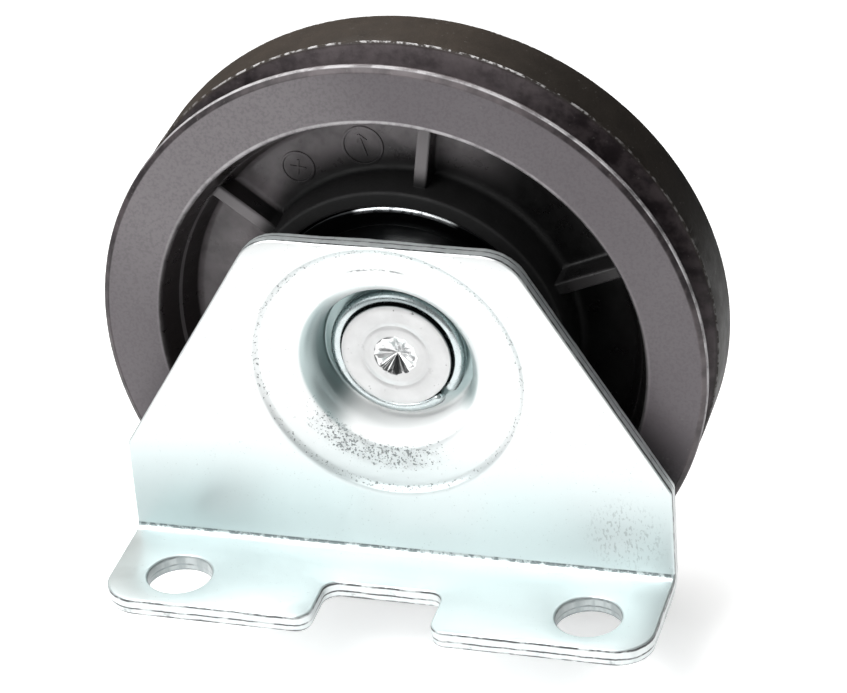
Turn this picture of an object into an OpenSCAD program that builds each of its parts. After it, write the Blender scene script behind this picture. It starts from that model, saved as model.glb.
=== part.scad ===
// Gate wheel: a moulded grooved wheel on a deep groove ball bearing, carried on a headed
// pin by one pressed steel angle bracket with a two-hole foot.
// Millimetres, +Z up. The origin is the middle of the two foot holes on the foot's
// underside. +X runs along the foot and +Y points from the foot to the wheel.

/* [Bracket] */
// Length of the foot along X
foot_length = 60; // [56:1:66]
// Foot reach in front of the plate's front face
foot_reach = 13.5; // [12.5:0.5:16]
// Sheet thickness
sheet = 2; // [1.6:0.1:2.4]
// Distance from the hole line to the plate's front face
plate_front = 8; // [7.5:0.5:10]
// Height of the plate's top edge
plate_top = 39.5; // [38.5:0.5:42]
// Height at which the plate's sides start to lean in
shoulder_height = 12.8; // [9:0.2:16]
// Width of the top edge before its corners are rounded
top_width = 27.6; // [26:0.2:34]
// Radius of the plate's top corners
top_corner = 5; // [2:0.5:6]
// Radius of the shoulders where the sides lean in
shoulder_corner = 1.2; // [0.4:0.2:3]
// Radius of the foot's front corners
foot_corner = 4; // [2:0.5:5]
// Inside radius of the bend
bend_radius = 0.8; // [0.5:0.1:1.5]

/* [Foot holes and notch] */
// Distance between the two foot holes
hole_spacing = 45; // [42:1:46]
// Diameter of the foot holes
hole_d = 7; // [6.4:0.2:8]
// Width of the notch in the foot's front edge
notch_width = 13; // [10:0.5:16]
// Depth of the notch
notch_depth = 7; // [5:0.5:8]
// Radius of the notch's inner corners
notch_corner = 1.6; // [0.8:0.2:3]
// Radius of the two points beside the notch
notch_lip = 1.8; // [0.8:0.2:2.5]

/* [Dish] */
// Outer radius of the pressed dish
dish_r = 14.5; // [14:0.25:15.5]
// Radius of the dish's flat floor
floor_r = 8.5; // [8.4:0.1:9]
// Depth of the dish's bowl at the mouth of its steep-sided well
mouth_depth = 1.2; // [1:0.05:1.4]
// Radius of the roll from the bowl into the well
mouth_round = 2.3; // [1.6:0.1:2.4]
// Depth of the floor behind the plate's front face
dish_depth = 5.6; // [5:0.1:6]
// Sheet thickness left at the floor
floor_t = 1.7; // [1.5:0.1:2]

/* [Wheel] */
// Outer radius of the wheel
wheel_r = 33; // [31:0.5:36]
// Width of the rim
rim_width = 12.5; // [12:0.5:14]
// Gap between the bracket plate and the wheel
wheel_gap = 3.1; // [3:0.1:4]
// Height of the axle above the foot's underside
axle_height = 24.5; // [24:0.5:26]
// Inner radius of the rim at its front face
rim_inner_r = 26.6; // [26:0.2:27.5]
// Inner radius of the rim where it meets the web
rim_root_r = 24.3; // [24:0.1:25]
// Depth of the web behind the front face
web_depth = 6.6; // [6:0.2:7]
// Web thickness
web_t = 2.4; // [2:0.2:3]
// Outer radius of the hub
hub_r = 18; // [17.6:0.1:19.6]
// Number of ribs
rib_count = 6; // [4:1:8]
// Rib thickness
rib_t = 1.4; // [1:0.1:2]
// Depth of the ribs' front edges behind the front face
rib_depth = 3.3; // [2.5:0.1:4.5]
// Angle of the first rib, clockwise from the top
rib_angle = 8; // [0:1:59]

/* [Groove] */
// Distance of the groove's front edge from the front face
groove_start = 1; // [0.9:0.1:1.4]
// Width of the groove at the rim surface
groove_width = 5.1; // [4.8:0.1:5.4]
// Depth of the groove
groove_depth = 4.2; // [3.6:0.1:4.4]
// Slope of each groove wall, as extra width over its depth
groove_draft = 0.25; // [0.1:0.05:0.3]

/* [Bearing] */
// Bearing bore diameter
bore_d = 12; // [12:12]
// Bearing outside diameter
bearing_d = 32; // [32:32]
// Bearing width
bearing_w = 10; // [10:10]
// Number of balls
ball_count = 7; // [7:7]
// Ball diameter
ball_d = 5.9; // [5.8:0.05:5.95]

/* [Pin and snap ring] */
// Diameter of the pin's head
head_d = 16; // [14:0.5:17]
// Thickness of the pin's head
head_t = 1.5; // [1:0.1:2]
// Snap ring wire diameter
wire_d = 1.6; // [1.4:0.1:1.6]
// Pin length past the middle of the snap ring
pin_lip = 1.2; // [1.1:0.1:1.6]
// Angle of the snap ring's gap, clockwise from the top
ring_gap_angle = 133; // [0:1:359]
// Width of the snap ring's gap
ring_gap = 0.8; // [0.4:0.1:3]

/* [Hidden] */
$fn = 96;

eps = 0.01;
ZINC = [0.80, 0.82, 0.83];
STEEL = [0.62, 0.64, 0.67];
NYLON = [0.16, 0.15, 0.15];
BRASS = [0.70, 0.62, 0.40];

// Stations along Y
foot_front = plate_front - foot_reach;
plate_back = plate_front + sheet;
wheel_front = plate_back + wheel_gap;
floor_front = plate_front + dish_depth;
floor_back = floor_front + floor_t;
bearing_back = floor_back + bearing_w;
ring_y = floor_front - wire_d / 2;
pin_front = ring_y - pin_lip;

// Bearing internals
pitch_r = (bore_d + bearing_d) / 4;
ball_r = ball_d / 2;
play = 0.03;
race_r = ball_r * 1.04;
inner_land_r = 9.15;
outer_land_r = 13.1;
shield_seat_r = 13.6;
shield_inset = 0.6;
shield_t = 0.4;
race_chamfer = 0.5;
bearing_mid = floor_back + bearing_w / 2;
cage_sheet = 0.5;
cage_in_r = 9.8;
cage_out_r = 12.3;
rivet_r = 0.5;

// Hub and bearing seat
hub_front = floor_back - 0.5;
seat_r = bearing_d / 2 + 0.01;
lip_r = 14.4;
lip_back = bearing_back + 1.1;
rear_inner_r = 29.6;
hub_rear_r = 18.2;

// Snap ring and pin
pin_r = bore_d / 2 - 0.01;
ring_mid_r = pin_r + 0.61;
groove_bottom_r = ring_mid_r - wire_d / 2 - 0.05;
punch_r = 2.2;
punch_depth = 0.75;
ring_mouth = (ring_gap + wire_d) / ring_mid_r * 90 / PI;

function unit(v) = v / norm(v);
function half_angle(a, p, b) = acos(unit(a - p) * unit(b - p)) / 2;
function tangent_point(p, toward, r, half) = p + unit(toward - p) * r / tan(half);
function corner_centre(a, p, b, r) =
    p + unit(unit(a - p) + unit(b - p)) * r / sin(half_angle(a, p, b));
function arc(cx, cy, r, a0, a1, n) =
    [for (i = [0:n]) let (a = a0 + (a1 - a0) * i / n) [cx + r * cos(a), cy + r * sin(a)]];

// Turns a shape that is round about Z onto the axle, with its z = 0 at y = 0
module on_axle() translate([0, 0, axle_height]) rotate([-90, 0, 0]) children();

// A convex outline with a true arc at each corner
module rounded_outline(pts, radii) {
    n = len(pts);
    polygon([for (i = [0:n - 1])
                 let (a = pts[(i + n - 1) % n], p = pts[i], b = pts[(i + 1) % n],
                      h = half_angle(a, p, b))
                     for (q = [a, b]) tangent_point(p, q, radii[i], h)]);
    for (i = [0:n - 1])
        translate(corner_centre(pts[(i + n - 1) % n], pts[i], pts[(i + 1) % n], radii[i]))
            circle(radii[i]);
}

// Ring about Z between two radii
module ring(r_out, r_in, z0, z1) translate([0, 0, z0]) difference() {
    cylinder(r = r_out, h = z1 - z0);
    translate([0, 0, -1]) cylinder(r = r_in, h = z1 - z0 + 2);
}

// ---- Bracket ----

// The bent sheet seen along X, as (y, z)
module sheet_profile() {
    ro = bend_radius + sheet;
    translate([foot_front, 0]) square([plate_back - ro - foot_front, sheet]);
    translate([plate_front, ro]) square([sheet, plate_top - ro]);
    translate([plate_back - ro, ro]) difference() {
        intersection() {
            circle(ro);
            translate([0, -ro]) square(ro);
        }
        circle(bend_radius);
    }
}

// The plate seen from the front, as (x, z)
module plate_outline() {
    w = foot_length / 2;
    t = top_width / 2;
    rounded_outline([[-w, -2], [w, -2], [w, shoulder_height], [t, plate_top],
                     [-t, plate_top], [-w, shoulder_height]],
                    [0.5, 0.5, shoulder_corner, top_corner, top_corner, shoulder_corner]);
}

// The foot seen from above, as (x, y)
module foot_outline() {
    w = foot_length / 2;
    back = plate_back + 2;
    n = notch_width / 2;
    inner = foot_front + notch_depth;
    difference() {
        rounded_outline([[-w, foot_front], [w, foot_front], [w, back], [-w, back]],
                        [foot_corner, foot_corner, 0.5, 0.5]);
        rounded_outline([[-n, foot_front - 5], [n, foot_front - 5], [n, inner], [-n, inner]],
                        [0.5, 0.5, notch_corner, notch_corner]);
        for (side = [0, 1]) mirror([side, 0]) difference() {
            translate([n - 0.5, foot_front - 0.5]) square(notch_lip + 0.5);
            translate([n + notch_lip, foot_front + notch_lip]) circle(notch_lip);
        }
    }
}

// The pressed dish's front and back faces as (radius, y): a shallow bowl that rolls over into a
// steep-sided well
roll_r = floor_r + mouth_round;
roll_y = plate_front + mouth_depth + mouth_round;
bowl_r = roll_r - mouth_round * cos(79);
bowl_y = roll_y - mouth_round * sin(79);
lip_blend = 1.6;
dish_front = concat(
    [[0, floor_front], [floor_r - 0.25, floor_front], [floor_r - 0.05, floor_front - 0.3]],
    [for (a = [0, 20, 40, 60, 79]) [roll_r - mouth_round * cos(a), roll_y - mouth_round * sin(a)]],
    [for (t = [0.33, 0.67, 1])
        [bowl_r + (dish_r - bowl_r) * t, plate_front + 0.45 + (bowl_y - plate_front - 0.45) * (1 - t)]],
    [[dish_r + 0.55, plate_front + 0.12], [dish_r + lip_blend, plate_front]]);
dish_back = [[dish_r + lip_blend, plate_back], [dish_r + 0.7, plate_back + 0.15],
             [dish_r - 0.4, plate_back + 0.45], [dish_r - 2, bowl_y + 1.55],
             [roll_r + 0.2, bowl_y + 1.85], [roll_r - 0.2, bowl_y + 2], [roll_r - 0.38, roll_y + 0.1],
             [floor_r + 1.85, floor_back - 1.7], [floor_r + 1.75, floor_back - 1],
             [floor_r + 1.45, floor_back - 0.45], [floor_r + 1.05, floor_back - 0.15],
             [floor_r + 0.6, floor_back], [0, floor_back]];

module bracket() color(ZINC) difference() {
    intersection() {
        translate([0, plate_back + 8, 0]) rotate([90, 0, 0])
            linear_extrude(foot_reach + 15) plate_outline();
        union() {
            intersection() {
                translate([-foot_length / 2 - 1, 0, 0]) rotate([90, 0, 90])
                    linear_extrude(foot_length + 2) sheet_profile();
                translate([0, 0, -1]) linear_extrude(plate_top + 2) foot_outline();
            }
            on_axle() rotate_extrude() polygon(concat(dish_front, dish_back));
        }
    }
    on_axle() rotate_extrude() polygon(concat(
        [[0, plate_front - 5], [0, floor_front]], [for (i = [1:len(dish_front) - 1]) dish_front[i]],
        [[dish_r + lip_blend, plate_front - 5]]));
    on_axle() translate([0, 0, floor_front - 1]) cylinder(d = bore_d + 0.1, h = floor_t + 2);
    for (s = [-1, 1]) translate([s * hole_spacing / 2, 0, -1]) cylinder(d = hole_d, h = sheet + 2);
}

// ---- Wheel ----

// The wheel's section as (radius, depth behind its front face)
groove_end = groove_start + groove_width;
groove_r = wheel_r - groove_depth;
bed = 1.1;
web_back = web_depth + web_t;
hub_z = hub_front - wheel_front;
lip_z = lip_back - wheel_front;
seat_z = bearing_back - wheel_front;
wheel_section = concat(
    [[rim_inner_r, 0], [wheel_r - 0.6, 0], [wheel_r, 0.4], [wheel_r, groove_start]],
    arc(groove_r + bed, groove_start + groove_draft + bed, bed, 270, 180, 5),
    arc(groove_r + bed, groove_end - groove_draft - bed, bed, 180, 90, 5),
    [[wheel_r, groove_end], [wheel_r, rim_width - 0.4], [wheel_r - 0.4, rim_width],
     [rear_inner_r, rim_width], [rear_inner_r - 1.2, web_back + 0.6],
     [rear_inner_r - 1.8, web_back], [hub_rear_r + 0.8, web_back], [hub_rear_r + 0.3, web_back + 0.5],
     [hub_rear_r, lip_z], [lip_r, lip_z], [lip_r, seat_z], [seat_r, seat_z], [seat_r, hub_z],
     [hub_r - 0.5, hub_z], [hub_r - 0.2, hub_z + 0.3], [hub_r, web_depth - 0.5],
     [hub_r + 0.5, web_depth], [rim_root_r - 0.6, web_depth], [rim_root_r, web_depth - 0.6]]);

mark_depth = 0.25;
// Angle, radius and size of the shallow round moulding marks on the web
marks = [[-34, 20.9, 1.9], [-12, 20.9, 2.3]];

module pulley_wheel() color(NYLON) on_axle() translate([0, 0, wheel_front]) difference() {
    union() {
        rotate_extrude() polygon(wheel_section);
        for (i = [0:rib_count - 1]) rotate([0, 0, rib_angle + i * 360 / rib_count]) {
            translate([-rib_t / 2, -rim_root_r - 1.3, rib_depth])
                cube([rib_t, rim_root_r + 1.3 - hub_r + 1, web_depth - rib_depth + 0.5]);
            translate([-rib_t / 2, -rear_inner_r - 0.5, web_back - 0.5])
                cube([rib_t, rear_inner_r + 0.5 - hub_rear_r + 0.5, rim_width - 1.2 - web_back]);
        }
    }
    for (m = marks) rotate([0, 0, m[0]]) translate([0, -m[1], web_depth - mark_depth])
        cylinder(r = m[2], h = 2 * mark_depth);
}

// ---- Bearing ----

// One race as a ring with chamfered corners, cut by the ball track
module race(r_out, r_in, track_r) difference() {
    rotate_extrude() polygon(
        let (c = race_chamfer, z0 = floor_back, z1 = bearing_back)
            [[r_in, z0 + c], [r_in + c, z0], [r_out - c, z0], [r_out, z0 + c],
             [r_out, z1 - c], [r_out - c, z1], [r_in + c, z1], [r_in, z1 - c]]);
    translate([0, 0, bearing_mid]) rotate_extrude() translate([track_r, 0]) circle(race_r);
}

module outer_race() color(STEEL) on_axle() difference() {
    race(bearing_d / 2, outer_land_r, pitch_r + ball_r + play - race_r);
    for (z = [floor_back - 1, bearing_back - shield_inset - shield_t - eps])
        translate([0, 0, z]) cylinder(r = shield_seat_r, h = 1 + shield_inset + shield_t + eps);
}

module inner_race() color(STEEL) on_axle()
    race(inner_land_r, bore_d / 2, pitch_r - ball_r - play + race_r);

module ball(i) color(STEEL) on_axle() rotate([0, 0, i * 360 / ball_count])
    translate([0, -pitch_r, bearing_mid]) sphere(ball_r);

module ball_1() ball(0);
module ball_2() ball(1);
module ball_3() ball(2);
module ball_4() ball(3);
module ball_5() ball(4);
module ball_6() ball(5);
module ball_7() ball(6);

// One half of the ribbon cage, on the +z side of the ball plane
module cage_half() difference() {
    intersection() {
        union() {
            ring(cage_out_r, cage_in_r, 0, cage_sheet);
            for (i = [0:ball_count - 1]) rotate([0, 0, i * 360 / ball_count])
                translate([0, -pitch_r, 0]) sphere(ball_r + 0.05 + cage_sheet);
        }
        ring(cage_out_r, cage_in_r, 0, ball_d);
    }
    for (i = [0:ball_count - 1]) rotate([0, 0, i * 360 / ball_count]) {
        translate([0, -pitch_r, 0]) sphere(ball_r + 0.05);
        rotate([0, 0, 180 / ball_count]) translate([0, -pitch_r, -1]) cylinder(r = rivet_r, h = 3);
    }
}

module cage_rear() color(BRASS) on_axle() translate([0, 0, bearing_mid]) cage_half();

module cage_front() color(BRASS) on_axle() translate([0, 0, bearing_mid]) mirror([0, 0, 1]) cage_half();

module cage_rivets() color(STEEL) on_axle() for (i = [0:ball_count - 1])
    rotate([0, 0, (i + 0.5) * 360 / ball_count]) translate([0, -pitch_r, bearing_mid]) {
        translate([0, 0, -cage_sheet]) cylinder(r = rivet_r, h = 2 * cage_sheet);
        for (side = [0, 1]) mirror([0, 0, side]) translate([0, 0, cage_sheet])
            cylinder(r1 = 0.9, r2 = 0.6, h = 0.45);
    }

// A pressed shield clipped into the outer race, stepped in towards the inner race
module shield() rotate_extrude() polygon([
    [inner_land_r + 0.3, 0.25], [inner_land_r + 0.3, 0.25 + shield_t], [11.2, 0.25 + shield_t],
    [11.6, shield_t], [shield_seat_r, shield_t], [shield_seat_r, 0], [11.4, 0], [11, 0.25]]);

module shield_front() color(ZINC) on_axle()
    translate([0, 0, floor_back + shield_inset]) shield();

module shield_rear() color(ZINC) on_axle()
    translate([0, 0, bearing_back - shield_inset]) mirror([0, 0, 1]) shield();

// ---- Pin and snap ring ----

module axle_pin() color(STEEL) on_axle() difference() {
    rotate_extrude() polygon([
        [0, pin_front], [pin_r - 0.15, pin_front], [pin_r, pin_front + 0.15],
        [pin_r, bearing_back], [head_d / 2, bearing_back], [head_d / 2, bearing_back + head_t - 0.4],
        [head_d / 2 - 0.4, bearing_back + head_t], [0, bearing_back + head_t]]);
    ring(pin_r + 1, groove_bottom_r, ring_y - wire_d / 2 - 0.05, ring_y + wire_d / 2 + 0.05);
    ring(3.75, 3.55, pin_front - 1, pin_front + 0.1);
    translate([0, 0, pin_front - eps]) cylinder(r1 = punch_r, r2 = 0.15, h = punch_depth, $fn = 12);
}

module snap_ring() color(STEEL) on_axle() translate([0, 0, ring_y])
    rotate([0, 0, ring_gap_angle - 90]) {
        difference() {
            rotate_extrude() translate([ring_mid_r, 0]) circle(d = wire_d);
            translate([0, 0, -wire_d]) linear_extrude(2 * wire_d) polygon([
                [0, 0], 2 * ring_mid_r * [cos(ring_mouth), -sin(ring_mouth)],
                2 * ring_mid_r * [cos(ring_mouth), sin(ring_mouth)]]);
        }
        for (a = [-ring_mouth, ring_mouth])
            rotate([0, 0, a]) translate([ring_mid_r, 0, 0]) sphere(d = wire_d * 0.97);
    }

bracket();
pulley_wheel();
outer_race();
inner_race();
ball_1();
ball_2();
ball_3();
ball_4();
ball_5();
ball_6();
ball_7();
cage_front();
cage_rear();
cage_rivets();
shield_front();
shield_rear();
axle_pin();
snap_ring();
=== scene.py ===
"""Gate wheel: detailed pieces, materials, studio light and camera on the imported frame."""
import math

import bmesh
import bpy
import numpy as np
from mathutils import Matrix, Vector, geometry


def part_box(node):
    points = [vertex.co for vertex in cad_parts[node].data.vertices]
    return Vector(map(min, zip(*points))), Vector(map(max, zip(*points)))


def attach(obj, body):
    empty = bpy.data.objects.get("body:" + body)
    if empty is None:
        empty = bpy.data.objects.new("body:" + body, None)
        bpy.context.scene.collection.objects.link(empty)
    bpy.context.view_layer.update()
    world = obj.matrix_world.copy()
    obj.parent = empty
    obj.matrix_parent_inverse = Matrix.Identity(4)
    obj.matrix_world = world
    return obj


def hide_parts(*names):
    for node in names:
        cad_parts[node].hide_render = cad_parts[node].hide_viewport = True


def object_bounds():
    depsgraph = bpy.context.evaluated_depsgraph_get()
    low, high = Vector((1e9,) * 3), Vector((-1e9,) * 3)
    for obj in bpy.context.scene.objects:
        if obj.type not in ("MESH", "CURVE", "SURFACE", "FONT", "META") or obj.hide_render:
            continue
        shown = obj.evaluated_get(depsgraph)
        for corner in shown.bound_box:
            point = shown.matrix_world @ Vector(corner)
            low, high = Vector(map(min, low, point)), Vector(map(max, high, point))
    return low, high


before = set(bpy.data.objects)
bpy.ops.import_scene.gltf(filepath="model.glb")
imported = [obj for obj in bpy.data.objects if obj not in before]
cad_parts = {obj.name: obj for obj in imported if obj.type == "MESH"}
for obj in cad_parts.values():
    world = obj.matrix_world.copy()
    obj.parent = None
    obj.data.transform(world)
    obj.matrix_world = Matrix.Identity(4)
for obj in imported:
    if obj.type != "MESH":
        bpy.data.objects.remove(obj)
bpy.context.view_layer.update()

RNG = np.random.default_rng(7)


def span(node):
    """A node's box in millimetres, as two arrays."""
    lo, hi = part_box(node)
    return np.array(lo) * 1000.0, np.array(hi) * 1000.0


# ---------------------------------------------------------------- stations, in millimetres
B_LO, B_HI = span("bracket")
W_LO, W_HI = span("pulley_wheel")
R_LO, R_HI = span("inner_race")
P_LO, P_HI = span("axle_pin")
S_LO, S_HI = span("snap_ring")
AXLE_X = (R_LO[0] + R_HI[0]) / 2
AXLE_Z = (R_LO[2] + R_HI[2]) / 2
SHEET = 2.0                  # thickness of the bracket's sheet
FOOT_LENGTH = 13.5           # from the foot's front edge to the plate's front face
FOOT_FRONT = B_LO[1]
PLATE_FRONT = FOOT_FRONT + FOOT_LENGTH
PLATE_TOP = B_HI[2]
HALF = B_HI[0]
FLOOR_BACK = R_LO[1]
FLOOR_FRONT = FLOOR_BACK - 1.7    # the dish's floor is drawn thinner than the sheet
WHEEL_FRONT = W_LO[1]
WHEEL_R = (W_HI[0] - W_LO[0]) / 2
BEARING_BACK = R_HI[1]
RIM_W = 12.5                 # width of the wheel's rim


# ---------------------------------------------------------------- mesh helpers
def make(name, verts, faces, mats, index=None, angle=32.0):
    """A smooth-shaded mesh object from points in millimetres, with creases sharper than angle."""
    mesh = bpy.data.meshes.new(name)
    mesh.from_pydata([tuple(p) for p in np.asarray(verts) * 0.001], [], [tuple(f) for f in faces])
    for m in mats:
        mesh.materials.append(m)
    if index is not None:
        mesh.polygons.foreach_set("material_index", np.asarray(index, dtype=np.int32))
    mesh.shade_smooth()
    mesh.set_sharp_from_angle(angle=math.radians(angle))
    mesh.update()
    obj = bpy.data.objects.new(name, mesh)
    bpy.context.scene.collection.objects.link(obj)
    return obj


def tag(obj, name, values):
    """Stores one number per vertex, for the materials to read."""
    att = obj.data.attributes.new(name, "FLOAT", "POINT")
    att.data.foreach_set("value", np.asarray(values, dtype=np.float32))


def soften(points, closed=True, step=14.0):
    """Rounds a polyline's corners. Each point is (a, b, radius); the arc turns step degrees a side."""
    n = len(points)
    out = []
    for i, (a, b, rad) in enumerate(points):
        if rad <= 0 or (not closed and i in (0, n - 1)):
            out.append((a, b))
            continue
        p = np.array([a, b])
        q0 = np.array(points[i - 1][:2]) - p
        q1 = np.array(points[(i + 1) % n][:2]) - p
        l0, l1 = np.linalg.norm(q0), np.linalg.norm(q1)
        q0, q1 = q0 / l0, q1 / l1
        if abs(q0[0] * q1[1] - q0[1] * q1[0]) < 1e-3:
            out.append((a, b))
            continue
        half = math.acos(max(-1.0, min(1.0, float(q0 @ q1)))) / 2
        cut = min(rad / math.tan(half), 0.49 * l0, 0.49 * l1)
        r = cut * math.tan(half)
        mid = (q0 + q1) / np.linalg.norm(q0 + q1)
        centre = p + mid * r / math.sin(half)
        s, e = p + q0 * cut - centre, p + q1 * cut - centre
        a0, a1 = math.atan2(s[1], s[0]), math.atan2(e[1], e[0])
        turn = (a1 - a0 + math.pi) % math.tau - math.pi
        k = max(2, int(abs(math.degrees(turn)) / step) + 1)
        for j in range(k + 1):
            t = a0 + turn * j / k
            out.append((centre[0] + r * math.cos(t), centre[1] + r * math.sin(t)))
    return np.array(out)


def around(r, phi, y):
    """Points at radius r, angle phi clockwise from the top, at depth y along the axle."""
    r, phi, y = np.broadcast_arrays(r, phi, y)
    return np.stack([AXLE_X + r * np.sin(phi), y, AXLE_Z + r * np.cos(phi)], -1)


def grid_faces(rows, cols, wrap_rows=True):
    """Quads over a grid of points stored row by row, closed across its columns."""
    faces = []
    for i in range(rows if wrap_rows else rows - 1):
        a, b = i * cols, ((i + 1) % rows) * cols
        for j in range(cols):
            k = (j + 1) % cols
            faces.append((a + j, a + k, b + k, b + j))
    return faces


def lathe(name, profile, mats, cols, angle):
    """Turns a closed profile of (radius, y) about the axle."""
    phi = np.linspace(0, math.tau, cols, endpoint=False)
    verts = around(profile[:, :1], phi[None], profile[:, 1:2]).reshape(-1, 3)
    obj = make(name, verts, grid_faces(len(profile), cols), mats, angle=angle)
    tidy(obj)
    return obj


def tidy(obj, dist=1e-6):
    """Merges doubled points and turns every face outwards."""
    bm = bmesh.new()
    bm.from_mesh(obj.data)
    bmesh.ops.remove_doubles(bm, verts=bm.verts, dist=dist)
    bmesh.ops.dissolve_degenerate(bm, edges=bm.edges, dist=dist * 0.5)
    bmesh.ops.recalc_face_normals(bm, faces=bm.faces)
    bm.to_mesh(obj.data)
    bm.free()
    obj.data.update()


def join(objs, name):
    """Joins pieces into the first one."""
    bpy.ops.object.select_all(action="DESELECT")
    for o in objs:
        o.select_set(True)
    bpy.context.view_layer.objects.active = objs[0]
    bpy.ops.object.join()
    objs[0].name = name
    return objs[0]


# ---------------------------------------------------------------- material helpers
def rgb(r, g, b):
    """An opaque colour."""
    return (r, g, b, 1.0)


def above_axle(height):
    """A Z position in metres, from a height above the axle in millimetres."""
    return (AXLE_Z + height) * 0.001


def put(tree, socket, value):
    """Links a socket to another, or sets a plain value on it."""
    if hasattr(value, "links"):
        tree.links.new(value, socket)
    else:
        socket.default_value = value


def node(tree, kind, inputs, **settings):
    """One shader node, with some of its inputs filled by name or number."""
    n = tree.nodes.new("ShaderNode" + kind)
    for key, value in settings.items():
        setattr(n, key, value)
    for key, value in inputs.items():
        put(tree, n.inputs[key], value)
    return n


class Nodes:
    """A short way to build one material's nodes. Points are in the object's own metres."""

    def __init__(self, name):
        self.mat = bpy.data.materials.new(name)
        self.mat.use_nodes = True
        self.tree = self.mat.node_tree
        self.tree.nodes.clear()
        self.bsdf = self.node("BsdfPrincipled", {})
        self.out = self.node("OutputMaterial", {0: self.bsdf.outputs[0]})
        self.pos = self.node("TexCoord", {}).outputs["Object"]

    def node(self, kind, inputs, **settings):
        return node(self.tree, kind, inputs, **settings)

    def set(self, **values):
        """Fills the shader's inputs by name."""
        for key, value in values.items():
            name = key.replace("_", " ").title().replace("Ior", "IOR")
            put(self.tree, self.bsdf.inputs[name], value)

    def math(self, op, a, b=0.0):
        return self.node("Math", {0: a, 1: b}, operation=op).outputs[0]

    def add(self, a, b):
        return self.math("ADD", a, b)

    def sub(self, a, b):
        return self.math("SUBTRACT", a, b)

    def mul(self, *factors):
        """The product of two or more sockets or numbers, taken from the left."""
        product = factors[0]
        for factor in factors[1:]:
            product = self.math("MULTIPLY", product, factor)
        return product

    def most(self, a, b):
        return self.math("MAXIMUM", a, b)

    def noise(self, scale, detail, rough, where=None):
        inputs = {"Vector": where or self.pos, "Scale": scale, "Detail": detail, "Roughness": rough}
        return self.node("TexNoise", inputs).outputs["Fac"]

    def ramp(self, value, lo, hi, out_lo=0.0, out_hi=1.0):
        """A smooth step from out_lo at lo to out_hi at hi. It may also run downwards, with lo above hi."""
        inputs = dict(enumerate((value, lo, hi, out_lo, out_hi)))
        return self.node("MapRange", inputs, interpolation_type="SMOOTHSTEP").outputs[0]

    def mix(self, fac, a, b):
        """Colour a, going over to b as fac rises from 0 to 1. A plain colour is (r, g, b)."""
        a, b = (rgb(*c) if isinstance(c, tuple) else c for c in (a, b))
        return self.node("Mix", {0: fac, 6: a, 7: b}, data_type="RGBA").outputs[2]

    def coats(self, base, *layers):
        """Lays (mask, strength, colour) layers over a base colour, one after another."""
        for mask, strength, colour in layers:
            base = self.mix(self.mul(mask, strength), base, colour)
        return base

    def stretch(self, sx, sy, sz, turn=(0.0, 0.0, 0.0)):
        """The object's position, turned and scaled, for a texture that runs one way."""
        inputs = {"Vector": self.pos, "Rotation": turn, "Scale": (sx, sy, sz)}
        return self.node("Mapping", inputs).outputs[0]

    def tagged(self, name):
        """A number stored per vertex by tag()."""
        return self.node("Attribute", {}, attribute_name=name).outputs["Fac"]

    def axis(self, i):
        """X, Y or Z of the position, in metres."""
        return self.node("SeparateXYZ", {0: self.pos}).outputs[i]

    def distance(self, x, z):
        """Distance in the XZ plane from the point (x, z), in millimetres."""
        dx = self.sub(self.axis(0), x * 0.001)
        dz = self.sub(self.axis(2), z * 0.001)
        return self.mul(self.root_of_squares(dx, dz), 1000.0)

    def distance_xy(self):
        """Distance from the origin in the floor's plane, in millimetres."""
        return self.mul(self.root_of_squares(self.axis(0), self.axis(1)), 1000.0)

    def root_of_squares(self, a, b):
        """The length of the vector (a, b)."""
        return self.math("SQRT", self.add(self.mul(a, a), self.mul(b, b)))

    def spot(self, dx, dz, near, far, inside=1.0, outside=0.0):
        """A round patch about the point (dx, dz) off the axle: inside up to near, outside from far."""
        return self.ramp(self.distance(AXLE_X + dx, AXLE_Z + dz), near, far, inside, outside)

    def behind(self, y):
        """Depth behind the plane at y, in millimetres."""
        return self.mul(self.sub(self.axis(1), y * 0.001), 1000.0)

    def radial(self, r):
        """A texture position that changes only with the radius r."""
        return self.node("CombineXYZ", {0: r}).outputs[0]

    def band(self, value, lo, hi, soft):
        """1 between lo and hi, falling to 0 over soft on each side."""
        return self.mul(self.ramp(value, lo - soft, lo), self.ramp(value, hi, hi + soft, 1.0, 0.0))

    def bump(self, *layers):
        """Stacks bumps of (height socket, depth in micrometres)."""
        inputs = {"Strength": 1.0}
        for height, depth in layers:
            inputs.update({"Distance": depth * 1e-6, "Height": height})
            inputs["Normal"] = self.node("Bump", inputs).outputs[0]
        put(self.tree, self.bsdf.inputs["Normal"], inputs["Normal"])


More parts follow.
